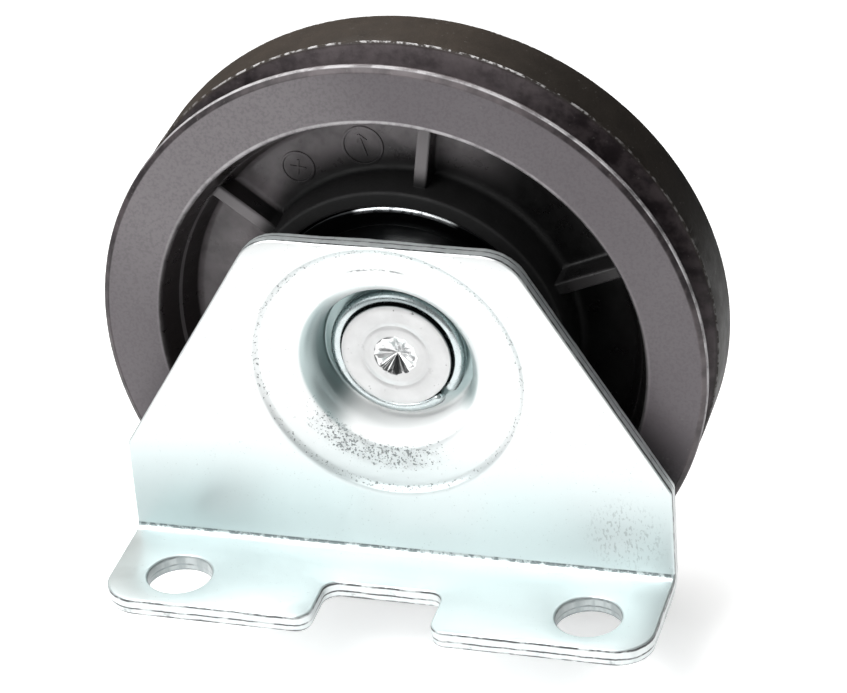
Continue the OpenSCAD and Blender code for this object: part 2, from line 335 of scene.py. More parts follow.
def zinc_face():
    """Bright zinc plating on rolled sheet: faint rolling grain, clouding, pits in the pressed dish."""
    m = Nodes("zinc_plate_face")
    cloud = m.noise(95, 4, 0.6)
    cloud_big = m.noise(28, 3, 0.5)
    grain = m.noise(900, 3, 0.6, where=m.stretch(0.08, 1.0, 1.0))
    fine = m.noise(2600, 2, 0.5)
    r = m.distance(AXLE_X, AXLE_Z)
    height = m.mul(m.axis(2), 1000.0)
    # pits gather on the lower part of the dish, where the sheet stretched most
    stretched = m.mul(m.spot(-2.5, -10.0, 4.0, 10.0), m.band(r, 10.0, 11.9, 0.9))
    ring_line = m.band(r, 14.2, 14.6, 0.25)
    zone = m.add(m.most(m.mul(stretched, 0.9), m.mul(ring_line, 0.55)), 0.05)
    pit_noise = m.most(m.noise(2900, 2, 0.6), m.sub(m.noise(4300, 1, 0.5), 0.03))
    pits = m.mul(m.ramp(m.add(pit_noise, m.mul(zone, 0.15)), 0.70, 0.77),
                 m.ramp(zone, 0.04, 0.3, 0.40, 1.0))
    haze = m.mul(stretched, m.ramp(m.noise(500, 3, 0.6), 0.35, 0.65, 0.1, 0.45))
    # a broken die line over the top of the bowl
    die_line = m.mul(m.band(r, 11.85, 12.0, 0.08), m.spot(-0.6, 12.0, 2.2, 3.6),
                     m.ramp(m.noise(900, 2, 0.6), 0.42, 0.56))
    scuff = m.ramp(m.noise(420, 2, 0.4, where=m.stretch(0.12, 1.0, 1.0, (0, 0.5, 0.3))), 0.71, 0.76)
    # painted shade, tinted blue-green, in the well and along the steep sides of its mouth
    left_side = m.mul(m.band(r, 8.5, 9.75, 0.4), m.ramp(m.axis(0), -0.0035, -0.0080))
    right_side = m.mul(m.band(r, 8.4, 9.2, 0.4), m.ramp(m.axis(0), 0.0040, 0.0075))
    well = m.mul(m.ramp(r, 8.75, 8.45), m.ramp(m.axis(2), above_axle(-7.5), above_axle(-4.5), 0.15, 1.0))
    painted_mouth_shade = m.most(m.mul(m.most(left_side, right_side), 0.62), m.mul(well, 0.75))
    # painted shade on the plate just above the foot, fading out upwards, heaviest at the left
    painted_bend_shade = m.mul(m.ramp(height, 2.22, 2.5), m.ramp(height, 4.5, 17.0, 1.0, 0.0),
                   m.ramp(m.axis(0), -0.028, 0.00, 1.0, 0.40))
    # a broken dark line painted along the top of the bend as the shade of a crease, and a rubbed patch above
    # it, at the right
    painted_crease_shade = m.mul(m.band(height, 2.34, 2.60, 0.10), m.ramp(m.noise(1300, 3, 0.65), 0.38, 0.56, 0.25, 1.0),
                   m.ramp(m.axis(1), 0.0089, 0.0086))
    rub = m.mul(m.ramp(m.distance(AXLE_X + 25.0, 7.0), 2.0, 5.5, 1.0, 0.0),
                m.ramp(m.noise(3400, 2, 0.6, where=m.stretch(1.0, 1.0, 0.5)), 0.54, 0.64))
    # painted shade: the foot darkened, less so next to the bend
    foot = m.mul(m.ramp(height, 2.25, 2.05), m.ramp(m.axis(1), 0.0070, 0.0045))
    # the drawn wall under the pin is scoured matt, so it scatters the light from above, and its colour is
    # painted pale as a highlight
    matt_wall_and_highlight = m.mul(m.band(r, 8.3, 9.6, 0.4), m.ramp(m.axis(2), above_axle(-2.5), above_axle(-6.0)),
                  m.ramp(m.axis(0), -0.0072, -0.0040))
    base = m.mix(cloud, (0.690, 0.708, 0.707), (0.758, 0.772, 0.770))
    base = m.mix(m.ramp(cloud_big, 0.35, 0.7), base, (0.786, 0.798, 0.796))
    base = m.coats(
        base,
        # painted shade: the plate darker and bluer towards its bottom
        (m.ramp(height, 20.0, 9.0), 0.85, (0.650, 0.722, 0.723)),
        (ring_line, 0.22, (0.42, 0.45, 0.45)),
        (scuff, 0.12, (0.40, 0.43, 0.43)),
        (haze, 1.0, (0.42, 0.44, 0.445)),
        (pits, 0.80, (0.13, 0.145, 0.145)),
        (die_line, 0.75, (0.12, 0.13, 0.13)),
        (painted_mouth_shade, 1.0, (0.235, 0.345, 0.345)),
        (painted_bend_shade, 0.95, (0.370, 0.440, 0.443)),
        (m.most(m.mul(painted_crease_shade, 0.90), m.mul(rub, 0.32)), 1.0, (0.090, 0.115, 0.118)),
        (foot, 0.60, (0.520, 0.575, 0.575)),
        (matt_wall_and_highlight, 0.85, (0.900, 0.905, 0.900)))
    rough = m.add(m.ramp(cloud, 0.3, 0.7, 0.28, 0.37), m.mul(pits, 0.25))
    rough = m.add(rough, m.mul(matt_wall_and_highlight, 0.38))
    m.set(base_color=base, metallic=m.sub(0.66, m.mul(matt_wall_and_highlight, 0.50)), roughness=rough)
    m.bump((grain, 6), (cloud, 60), (fine, 1.5), (m.mul(pits, -1.0), 30))
    return m.mat


HOLE_X, HOLE_R = 22.5, 3.5    # screw holes in the foot: distance from the middle, radius


def zinc_edge():
    """The sheet's cut edge: a rolled corner, a burnished band and a torn band, all plated over."""
    m = Nodes("zinc_cut_edge")
    tear = m.noise(1800, 3, 0.7, where=m.stretch(1.0, 0.5, 0.5))
    streak = m.noise(1300, 2, 0.5, where=m.stretch(1.0, 0.12, 0.12))
    blot = m.noise(430, 3, 0.65)
    # depth below the sheet's front face in millimetres, wavering so that the dark lines aren't ruled
    depth = m.add(m.tagged("depth"), m.mul(m.sub(m.noise(260, 3, 0.6), 0.5), 0.45))
    lines = m.most(m.band(depth, 0.16, 0.30, 0.10), m.band(depth, 1.12, 1.26, 0.08))
    lines = m.mul(m.most(lines, m.ramp(depth, 1.72, 1.92)), m.ramp(blot, 0.34, 0.54, 0.25, 1.0))
    dark = m.mul(m.ramp(blot, 0.60, 0.72), m.ramp(depth, 0.3, 1.4, 0.3, 0.9))
    # painted shade on the cut edge inside the screw holes
    beside_hole = m.sub(m.math("ABSOLUTE", m.axis(0)), HOLE_X * 0.001)
    to_hole = m.root_of_squares(beside_hole, m.axis(1))
    in_hole = m.mul(m.ramp(to_hole, 0.0042, 0.0038), m.ramp(streak, 0.3, 0.7, 0.55, 0.95))
    base = m.coats(
        m.mix(streak, (0.55, 0.60, 0.60), (0.80, 0.82, 0.82)),
        (dark, 0.75, (0.22, 0.23, 0.23)),
        (lines, 0.92, (0.030, 0.030, 0.032)),
        (in_hole, 1.0, (0.300, 0.335, 0.338)))
    m.set(base_color=base, metallic=0.60, roughness=m.ramp(tear, 0.3, 0.7, 0.30, 0.52))
    m.bump((tear, 40), (streak, 30))
    return m.mat


def nylon():
    """Black moulded polyamide: dusty flank, brown mottled tread, painted highlights on its edges, painted
    shade in its pockets.
    """
    m = Nodes("wheel_nylon_skin")
    r = m.distance(AXLE_X, AXLE_Z)
    depth = m.behind(WHEEL_FRONT)
    skin = m.noise(1500, 3, 0.6)
    cloud = m.noise(70, 4, 0.6)
    mottle = m.noise(420, 4, 0.7)
    drag = m.noise(520, 3, 0.6, where=m.stretch(1.0, 0.25, 1.0))
    inside_rim = m.ramp(r, 27.6, 26.4)
    # the groove's walls and floor, paler near the wheel's top and on its right
    base = m.mix(m.ramp(drag, 0.35, 0.65), (0.0150, 0.0110, 0.0125), (0.0520, 0.0415, 0.0440))
    paler_groove = m.most(m.spot(2.0, 30.0, 9.0, 19.0), m.spot(27.0, -2.0, 5.0, 13.0))
    paler_groove = m.mul(paler_groove, m.ramp(drag, 0.25, 0.7, 0.45, 1.0))
    base = m.coats(base, (paler_groove, 0.85, (0.135, 0.115, 0.120)))
    # the front pocket is painted dark as shade, darkest to the right, and its ribs' tops get painted light,
    # the right rib's least
    to_left = m.ramp(m.axis(0), 0.006, 0.014, 1.0, 0.10)
    pocket = m.mix(m.mul(m.ramp(r, 20.0, 24.0), to_left),
                   (0.0030, 0.0029, 0.0030), (0.0230, 0.0190, 0.0195))
    rib_top = m.mul(m.band(depth, 3.1, 3.6, 0.05), m.ramp(r, 18.0, 20.5))
    rib_top = m.mul(rib_top, m.ramp(m.axis(0), 0.006, 0.014, 1.0, 0.12))
    # painted light on the web's upper and left part, fading out towards the hub
    left = m.ramp(m.axis(0), -0.0125, -0.0165)
    web_light = m.mul(m.ramp(m.add(r, m.mul(left, 2.2)), 18.3, 23.2),
                     m.ramp(m.axis(0), 0.004, 0.013, 1.0, 0.0), m.ramp(depth, 5.9, 6.3),
                     m.ramp(m.noise(300, 3, 0.6), 0.30, 0.60, 0.6, 1.0))
    pocket = m.coats(pocket, (rib_top, 1.0, (0.165, 0.153, 0.157)), (web_light, 1.0, (0.200, 0.180, 0.187)))
    rear_web = m.mix(cloud, (0.034, 0.029, 0.031), (0.072, 0.064, 0.067))
    pocket = m.mix(m.ramp(depth, 7.3, 7.7), pocket, rear_web)
    base = m.mix(inside_rim, base, pocket)
    # the tread is worn brown, and painted darker to the right as shade
    tread = m.mul(m.ramp(r, 32.5, 32.9), m.ramp(depth, 5.8, 6.1))
    worn_and_shaded = m.mix(mottle, (0.0090, 0.0062, 0.0042), (0.0480, 0.0345, 0.0245))
    worn_and_shaded = m.coats(worn_and_shaded, (m.ramp(m.axis(0), 0.004, 0.018, 0.0, 0.70), 1.0, (0.0070, 0.0050, 0.0036)))
    base = m.mix(tread, base, worn_and_shaded)
    # both flanks are dusty; the front one has painted light at its upper left and painted shade at its lower
    # right
    flank = m.mul(m.band(r, 26.85, 32.25, 0.18), m.ramp(depth, 0.10, 0.16, 1.0, 0.0))
    rear_flank = m.mul(m.ramp(r, 29.4, 29.8), m.ramp(depth, RIM_W - 0.3, RIM_W - 0.1))
    flank = m.most(flank, m.mul(rear_flank, 0.7))
    dust_light_and_shade = m.coats(
        m.mix(cloud, (0.096, 0.083, 0.091), (0.127, 0.115, 0.122)),
        (m.spot(-20.0, 22.0, 10.0, 24.0, 0.45), 1.0, (0.215, 0.200, 0.205)),
        (m.spot(27.0, -17.0, 3.0, 14.0, 0.90), 1.0, (0.022, 0.018, 0.020)),
        (m.ramp(m.noise(3000, 2, 0.6), 0.42, 0.66, 0.0, 0.32), 1.0, (0.070, 0.061, 0.066)))
    base = m.mix(flank, base, dust_light_and_shade)
    # painted highlights on the edges where the light falls: the pocket's lip, the front flange's crest and
    # the rear flange's two corners
    lip = m.mul(m.band(r, 26.50, 26.92, 0.16), m.ramp(depth, 0.55, 0.30),
                m.ramp(mottle, 0.34, 0.62, 0.35, 1.0), m.spot(-4.0, 26.0, 12.0, 30.0, 1.0, 0.12))
    crest = m.mul(m.ramp(r, 32.80, 32.93), m.band(depth, 0.34, 0.74, 0.08),
                  m.ramp(mottle, 0.36, 0.60, 0.30, 1.0), m.spot(12.0, 25.0, 30.0, 44.0, 1.0, 0.12))
    outer = m.ramp(r, 32.62, 32.85)
    shoulder = m.mul(outer, m.band(depth, 6.06, 6.20, 0.05))
    back_edge = m.mul(outer, m.band(depth, 11.95, 12.12, 0.05))
    dots = m.mul(m.most(shoulder, back_edge), m.ramp(m.noise(1100, 2, 0.6), 0.46, 0.60),
                 m.spot(0.0, 33.0, 14.0, 26.0, 1.0, 0.22))
    speck = m.mul(m.ramp(m.noise(2300, 2, 0.6), 0.68, 0.74), m.ramp(r, 26.0, 33.0, 0.03, 0.35))
    base = m.coats(
        base,
        (lip, 0.85, (0.44, 0.42, 0.43)),
        (crest, 0.85, (0.58, 0.56, 0.57)),
        (dots, 0.80, (0.62, 0.60, 0.60)),
        (speck, 1.0, (0.16, 0.15, 0.145)))
    rough = m.add(m.ramp(mottle, 0.3, 0.7, 0.38, 0.50), m.mul(tread, 0.10))
    rough = m.sub(rough, m.mul(inside_rim, 0.12))
    rough = m.add(rough, m.mul(m.ramp(r, 19.2, 18.4), 0.34))
    m.set(base_color=base, metallic=0.0, roughness=rough, ior=1.52, specular_ior_level=0.32)
    m.bump((skin, 8), (cloud, 100), (m.mul(mottle, m.ramp(depth, 0.2, 0.8)), 60))
    return m.mat


def turned_steel(name, light, dark, rough, stain=0.0):
    """Turned or ground steel: rings round the axle, light clouding and a few stains."""
    m = Nodes(name)
    along = {"W": m.distance(AXLE_X, AXLE_Z), "Scale": 14.0, "Detail": 4.0}
    rings = m.node("TexNoise", along, noise_dimensions="1D").outputs["Fac"]
    cloud = m.noise(260, 4, 0.6)
    spot = m.ramp(m.noise(900, 3, 0.7), 0.66, 0.74)
    base = m.mix(m.ramp(cloud, 0.3, 0.7), dark, light)
    base = m.coats(base, (spot, stain, (0.12, 0.12, 0.115)))
    m.set(base_color=base, metallic=1.0, roughness=m.ramp(rings, 0.3, 0.7, rough, rough + 0.1))
    m.bump((rings, 3), (cloud, 4))
    return m.mat


def pin_steel():
    """The pin's turned end: faint turning rings, handling marks, old grease in the ring's groove."""
    m = Nodes("pin_end")
    r = m.distance(AXLE_X, AXLE_Z)
    depth = m.behind(P_LO[1])
    cloud = m.noise(260, 4, 0.6)
    rings = m.noise(2.0, 3, 0.6, where=m.radial(r))
    nick = m.mul(m.ramp(m.noise(1500, 2, 0.6), 0.66, 0.72), m.ramp(r, 4.6, 5.7, 0.15, 1.0))
    grease = m.mul(m.ramp(depth, 0.12, 0.24), m.ramp(depth, 5.0, 6.0, 1.0, 0.0), m.ramp(r, 5.5, 5.7))
    burr = m.mul(m.band(r, 2.12, 2.34, 0.08), m.ramp(m.axis(0), 0.0004, -0.0012),
                 m.ramp(m.noise(1100, 2, 0.6), 0.40, 0.52))
    base = m.coats(
        m.mix(m.ramp(cloud, 0.3, 0.7), (0.515, 0.515, 0.515), (0.590, 0.590, 0.590)),
        (m.band(r, 3.0, 3.9, 0.35), 0.35, (0.50, 0.50, 0.50)),
        (nick, 0.8, (0.10, 0.10, 0.10)),
        (grease, 1.0, (0.020, 0.026, 0.027)),
        (burr, 0.85, (0.035, 0.036, 0.036)))
    m.set(base_color=base, metallic=0.85, roughness=m.ramp(rings, 0.3, 0.7, 0.32, 0.42))
    m.bump((rings, 4), (cloud, 10))
    return m.mat


def punch_steel():
    """The struck star: bright burnished flutes, the lower ones darker."""
    m = Nodes("pin_punch")
    across = m.sub(m.axis(0), AXLE_X * 0.001)
    down = m.most(m.sub(AXLE_Z * 0.001, m.axis(2)), 0.00005)
    slant = m.math("DIVIDE", across, down)
    facet = m.noise(4.5, 2, 0.6, where=m.radial(slant))
    cloud = m.noise(700, 3, 0.6)
    dark_lower_flutes = m.mul(m.ramp(down, 0.00012, 0.00040), m.band(slant, -1.25, 0.75, 0.15),
                   m.ramp(facet, 0.52, 0.60, 1.0, 0.35))
    base = m.mix(m.ramp(cloud, 0.3, 0.7), (0.62, 0.62, 0.62), (0.86, 0.86, 0.86))
    base = m.coats(base, (dark_lower_flutes, 0.94, (0.020, 0.021, 0.022)))
    m.set(base_color=base, metallic=0.9, roughness=m.ramp(cloud, 0.3, 0.7, 0.14, 0.26))
    m.bump((cloud, 4))
    return m.mat


def race_steel():
    """The ground rings, their front faces painted nearly black as shade, with a painted glint on the top of
    the outer ring's front corner.
    """
    m = Nodes("race_ground")
    r = m.distance(AXLE_X, AXLE_Z)
    cloud = m.noise(260, 4, 0.6)
    rings = m.noise(9.0, 3, 0.6, where=m.radial(r))
    front = m.ramp(m.axis(1), 0.0175, 0.0185, 1.0, 0.0)
    # painted glint on the top of the outer ring's front corner
    painted_glint = m.mul(m.spot(1.1, 15.7, 4.6, 6.0), m.ramp(r, 15.15, 15.30),
                  m.ramp(m.noise(1300, 2, 0.6), 0.34, 0.46, 0.35, 1.0))
    # painted shade: the rest of the front nearly black
    front_shade = m.mul(front, m.sub(1.0, painted_glint))
    base = m.mix(m.ramp(cloud, 0.3, 0.7), (0.58, 0.60, 0.62), (0.80, 0.82, 0.83))
    base = m.coats(base, (front_shade, 0.985, (0.004, 0.0045, 0.005)))
    m.set(base_color=base, metallic=1.0, roughness=m.ramp(rings, 0.3, 0.7, 0.16, 0.26))
    m.bump((rings, 3), (cloud, 4))
    return m.mat


def wire_steel():
    """Plated spring wire with drawing marks along it, painted shade on top, and darker on its outer side
    below the axle.
    """
    m = Nodes("ring_wire")
    cloud = m.noise(420, 3, 0.6)
    draw = m.noise(2200, 2, 0.5, where=m.stretch(0.6, 1.0, 0.6))
    # painted shade on the ring's upper part
    upper = m.ramp(m.axis(2), above_axle(3.5), above_axle(6.2), 0.0, 0.75)
    under = m.mul(m.ramp(m.distance(AXLE_X, AXLE_Z), 7.05, 7.30),
                  m.ramp(m.axis(2), above_axle(-1.5), above_axle(-3.5)))
    base = m.coats(
        m.mix(cloud, (0.42, 0.48, 0.49), (0.60, 0.64, 0.64)),
        (upper, 1.0, (0.170, 0.200, 0.205)),
        (under, 0.85, (0.050, 0.058, 0.060)))
    m.set(base_color=base, metallic=1.0, roughness=m.ramp(draw, 0.3, 0.7, 0.18, 0.30))
    m.bump((draw, 3), (cloud, 6))
    return m.mat


def pressed_steel(name, light, dark, rough):
    """Thin pressed steel of the cage and shields, with die streaks and a trace of oil."""
    m = Nodes(name)
    cloud = m.noise(140, 3, 0.5)
    streak = m.noise(900, 2, 0.5, where=m.stretch(1.0, 0.2, 1.0))
    oil = m.ramp(m.noise(120, 3, 0.5), 0.5, 0.62)
    m.set(base_color=m.mix(cloud, dark, light), metallic=1.0,
          roughness=m.ramp(streak, 0.3, 0.7, rough, rough + 0.12),
          coat_weight=m.mul(oil, 0.5), coat_roughness=0.12)
    m.bump((streak, 2), (cloud, 4))
    return m.mat


ZINC = zinc_face()
EDGE = zinc_edge()
NYLON = nylon()
PIN = pin_steel()
PUNCH = punch_steel()
RACE = race_steel()
BALL = turned_steel("ball_polished", (0.86, 0.87, 0.88), (0.76, 0.77, 0.79), 0.05)
WIRE = wire_steel()
CAGE = pressed_steel("cage_pressed", (0.62, 0.60, 0.55), (0.42, 0.40, 0.36), 0.28)
RIVET = pressed_steel("rivet_headed", (0.66, 0.66, 0.65), (0.48, 0.48, 0.47), 0.24)
SHIELD = turned_steel("shield_pressed", (0.66, 0.68, 0.69), (0.54, 0.56, 0.58), 0.24, stain=0.15)
# the front shield's steel, painted nearly black as shade
SHIELD_SHADED = pressed_steel("shield_pressed_shaded", (0.016, 0.017, 0.018), (0.006, 0.0065, 0.007), 0.30)


# ---------------------------------------------------------------- bracket
BEND = 0.8           # inside radius of the bend
BEND_V = 2.4         # length given to the bend in the flat pattern
BREAK = 0.24         # in-plane width of the rolled edge
FOOT_Y = PLATE_FRONT - BEND      # where the foot goes over into the bend
BEND_Z = SHEET + BEND            # where the bend goes over into the plate
AXLE_V = BEND_V + AXLE_Z - BEND_Z
NOTCH_HALF, NOTCH_DEEP = 6.5, 7.0
SHOULDER_Z = 12.8                # where the plate's sides start to lean in
TOP_HALF = 13.8
PIN_HOLE = 6.05
BEND_ROWS = 11                   # rows of points across the bend
RING_COLS = 144                  # stations round the dish and the pin's hole


def smooth_curve(points):
    """A smooth function through (x, y) points with level ends, by monotone cubic pieces."""
    x, y = np.array(points, float).T
    d = np.diff(y) / np.diff(x)
    m = np.array([0.0] + [0.0 if a * b <= 0 else 2 * a * b / (a + b) for a, b in zip(d, d[1:])] + [0.0])

    def at(q):
        q = np.clip(q, x[0], x[-1])
        i = np.clip(np.searchsorted(x, q) - 1, 0, len(x) - 2)
        h = x[i + 1] - x[i]
        t = (q - x[i]) / h
        return (y[i] * (1 + 2 * t) * (1 - t) ** 2 + m[i] * h * t * (1 - t) ** 2
                + y[i + 1] * t * t * (3 - 2 * t) + m[i + 1] * h * t * t * (t - 1))
    return at


# how far the press pushes the sheet back, as (radius, push), on its front and on its back
DEPTH = FLOOR_FRONT - PLATE_FRONT
BACK = FLOOR_BACK - PLATE_FRONT - SHEET
WELL_R = 8.5
ROLL = 2.3           # radius of the roll from the bowl into the well
ROLL_Y = 3.5         # depth at which the roll meets the well's wall
ROLL_ARC = [(WELL_R + ROLL * (1 - math.cos(a)), ROLL_Y - ROLL * math.sin(a))
            for a in (math.radians(degrees) for degrees in range(5, 80, 6))]
dish_front = smooth_curve(
    [(0, DEPTH), (8.2, DEPTH), (8.36, DEPTH - 0.08), (8.45, DEPTH - 0.34)] + ROLL_ARC
    + [(11.6, 1.00), (13.0, 0.73), (14.1, 0.47), (14.5, 0.30), (14.85, 0.10), (15.4, 0.0)])
dish_back = smooth_curve(
    [(0, BACK), (9.1, BACK), (9.55, BACK - 0.15), (9.95, BACK - 0.45), (10.25, BACK - 1.0), (10.42, 1.9),
     (10.6, 1.38), (11.0, 1.12), (12.5, 0.79), (14.1, 0.42), (15.2, 0.14), (16.1, 0.0)])


def flat_to_space(u, v, depth):
    """Maps the flat pattern (u, v) at a depth below the inside face, 0 to SHEET, into space."""
    u, v, depth = (np.asarray(a, float) for a in np.broadcast_arrays(u, v, depth))
    turn = np.clip(v / BEND_V, 0, 1) * math.pi / 2
    rad = BEND + depth
    y = FOOT_Y + rad * np.sin(turn) + np.minimum(v, 0)
    z = BEND_Z - rad * np.cos(turn) + np.maximum(v - BEND_V, 0)
    r = np.hypot(u, v - AXLE_V)
    t = depth / SHEET
    push = (1 - t) * dish_front(r) + t * dish_back(r)
    return np.stack([u, y + np.where(v > BEND_V, push, 0), z], -1)


def outline(points, step=9.0):
    """A rounded closed outline as (points, outward normals). Corners are (u, v, radius), anticlockwise."""
    pts = []
    n = len(points)
    for i in range(n):
        arc = soften([points[i - 1], points[i], points[(i + 1) % n]], closed=False, step=step)[1:-1]
        pts.extend(map(tuple, arc))
    # straight runs are divided so that no edge is long, with stations on the bend rows
    dense = []
    rows = np.linspace(0, BEND_V, BEND_ROWS)
    for p, q in zip(pts, pts[1:] + pts[:1]):
        p, q = np.array(p), np.array(q)
        cuts = [0.0]
        length = np.linalg.norm(q - p)
        if abs(q[0] - p[0]) < 1e-6 and length > 3:
            low, high = min(p[1], q[1]), max(p[1], q[1])
            cuts += [float((v - p[1]) / (q[1] - p[1])) for v in rows if low < v < high]
        k = int(length / 2.0)
        cuts += [j / k for j in range(1, k) if all(abs(j / k - c) * length > 0.6 for c in cuts)]
        dense.extend(tuple(p + (q - p) * c) for c in sorted(cuts))
    pts = np.array(dense)
    ahead = np.roll(pts, -1, 0) - pts
    behind = pts - np.roll(pts, 1, 0)
    ahead /= np.linalg.norm(ahead, axis=1)[:, None]
    behind /= np.linalg.norm(behind, axis=1)[:, None]
    tan = ahead + behind
    tan /= np.linalg.norm(tan, axis=1)[:, None]
    return pts, np.stack([tan[:, 1], -tan[:, 0]], 1)


def hole(cu, cv, r, n):
    """A round hole as (points, normals that point out of the metal), clockwise."""
    t = -np.linspace(0, math.tau, n, endpoint=False)
    d = np.stack([np.cos(t), np.sin(t)], 1)
    return np.array([cu, cv]) + d * r, -d


def build_bracket():
    """The bracket is meshed flat, with its bend rows and dish rings, and then mapped into space."""
    front_v = FOOT_FRONT - FOOT_Y
    top_v = BEND_V + PLATE_TOP - BEND_Z
    shoulder_v = BEND_V + SHOULDER_Z - BEND_Z
    notch_v = front_v + NOTCH_DEEP
    hole_v = 0.0 - FOOT_Y
    edge = outline([
        (-HALF, front_v, 4.0), (-NOTCH_HALF, front_v, 1.8), (-NOTCH_HALF, notch_v, 1.6),
        (NOTCH_HALF, notch_v, 1.6), (NOTCH_HALF, front_v, 1.8), (HALF, front_v, 4.0),
        (HALF, shoulder_v, 1.2), (TOP_HALF, top_v, 5.0), (-TOP_HALF, top_v, 5.0), (-HALF, shoulder_v, 1.2)])
    holes = [(-HOLE_X, hole_v, HOLE_R, 72), (HOLE_X, hole_v, HOLE_R, 72), (0, AXLE_V, PIN_HOLE, RING_COLS)]
    loops = [edge] + [hole(*each) for each in holes]
    pts, edges, loop_ids = [], [], []
    for p, n in loops:
        ids = list(range(len(pts), len(pts) + len(p)))
        pts.extend(map(tuple, p - n * BREAK))
        loop_ids.append(ids)
        edges.extend(zip(ids, ids[1:] + ids[:1]))
    # rows across the bend
    across = np.linspace(BREAK - HALF, HALF - BREAK, 41)[1:-1]
    for v in np.linspace(0, BEND_V, BEND_ROWS):
        row = range(len(pts), len(pts) + len(across))
        pts.extend((u, v) for u in across)
        edges.extend(zip(row, row[1:]))
    # rings of the dish, stopped short of the plate's top edge
    radii = [np.linspace(*run) for run in (
        (6.6, 8.15, 4), (8.22, 8.45, 7), (8.47, 8.62, 8), (8.65, 9.25, 14), (9.35, 10.9, 16),
        (11.1, 13.5, 10), (13.8, 15.4, 13), (15.8, 16.2, 2))]
    for r in np.concatenate(radii):
        prev = first = None
        for j in range(RING_COLS):
            t = math.tau * (j + 0.5) / RING_COLS
            u, v = r * math.cos(t), AXLE_V + r * math.sin(t)
            if v > top_v - BREAK - 0.12:
                prev = None
                continue
            pts.append((u, v))
            if prev is not None:
                edges.append((prev, len(pts) - 1))
            prev = len(pts) - 1
            if j == 0:
                first = prev
        if prev is not None and first is not None:
            edges.append((prev, first))
    co, _, tris, origin, _, _ = geometry.delaunay_2d_cdt(
        [Vector(p) for p in pts], edges, [], 1, 1e-5)
    co = np.array([tuple(c) for c in co])
    lookup = {o: i for i, os in enumerate(origin) for o in os}
    # triangles inside a hole are dropped
    keep = []
    for t in tris:
        c = co[list(t)].mean(0)
        if all(math.hypot(c[0] - u, c[1] - v) > (r + BREAK) * 0.999 for u, v, r, _ in holes):
            keep.append(tuple(t))
    n = len(co)
    verts = [flat_to_space(co[:, 0], co[:, 1], 0.0), flat_to_space(co[:, 0], co[:, 1], SHEET)]
    faces = keep + [tuple(n + i for i in reversed(t)) for t in keep]
    index = [0] * len(faces)
    # the cut edge as (distance out, depth, torn or not): rolled corner, burnished band, torn band, burr
    a = np.radians(np.linspace(0, 90, 6)[1:])
    prof = ([(BREAK * math.sin(t), 0.30 * (1 - math.cos(t)), 0) for t in a]
            + [(BREAK, 1.05, 1), (BREAK - 0.03, 1.20, 1), (BREAK - 0.075, 1.45, 1), (BREAK - 0.085, 1.75, 1),
               (BREAK - 0.11, 1.93, 1), (BREAK - 0.17, 2.0, 0)])
    base = 2 * n
    depths = [np.zeros(n), np.full(n, SHEET)]
    for (p, nrm), ids in zip(loops, loop_ids):
        m = len(ids)
        inset = p - nrm * BREAK
        rows = [[lookup[i] for i in ids]]
        for o, d, torn in prof:
            jag = -np.abs(RNG.normal(0, 0.016, m)) * torn
            q = inset + nrm * (o + jag)[:, None]
            verts.append(flat_to_space(q[:, 0], q[:, 1], d))
            depths.append(np.full(m, d))
            rows.append(list(range(base, base + m)))
            base += m
        rows.append([n + lookup[i] for i in ids])
        for k, (r0, r1) in enumerate(zip(rows, rows[1:])):
            for j in range(m):
                q = (j + 1) % m
                faces.append((r0[j], r1[j], r1[q], r0[q]))
                index.append(1 if 3 <= k < len(rows) - 2 else 0)
    obj = make("bracket_sheet", np.concatenate(verts), faces, [ZINC, EDGE], index, 40)
    tag(obj, "depth", np.concatenate(depths))
    tidy(obj)
    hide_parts("bracket")
    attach(obj, "frame")


# ---------------------------------------------------------------- wheel
RIBS = 6
RIB_AT = math.radians(8)         # the first rib's angle from the top
RIB_HALF = 0.70
FRONT_RIB, REAR_RIB = 3.3, 1.7   # how far the ribs' tops lie inside the wheel's front and back
WEB_FRONT, WEB_BACK = 6.6, 9.0   # the web's faces, behind the wheel's front
LIP_R, HUB_R, GROOVE_R, CREST_R = 26.6, 18.2, 28.8, 33.0
SEAT_R = 16.01                   # the bearing's seat


def smin(a, b, k):
    """Smooth minimum with a blend of size k, which may be zero."""
    k = np.maximum(k, 1e-6)
    h = np.clip(0.5 + 0.5 * (b - a) / k, 0, 1)
    return b * (1 - h) + a * h - k * h * (1 - h)


def rib_depth(s, top, base, fillet):
    """Depth of a rib's cross-section at a distance s from its middle, between its top and its base."""
    half, edge, draft = RIB_HALF, 0.22, 0.05
    s = np.abs(s)
    d = np.full_like(s, base)
    f = half + draft + fillet
    in_fillet = s < f
    d = np.where(in_fillet, base - fillet + np.sqrt(np.clip(fillet ** 2 - (s - f) ** 2, 0, None)), d)
    wall = s < half + draft
    t = np.clip((s - half) / draft, 0, 1)
    d = np.where(wall, (top + edge) * (1 - t) + (base - fillet) * t, d)
    corner = s < half
    q = np.clip(s - (half - edge), 0, edge)
    d = np.where(corner, top + edge - np.sqrt(edge ** 2 - q ** 2), d)
    return d


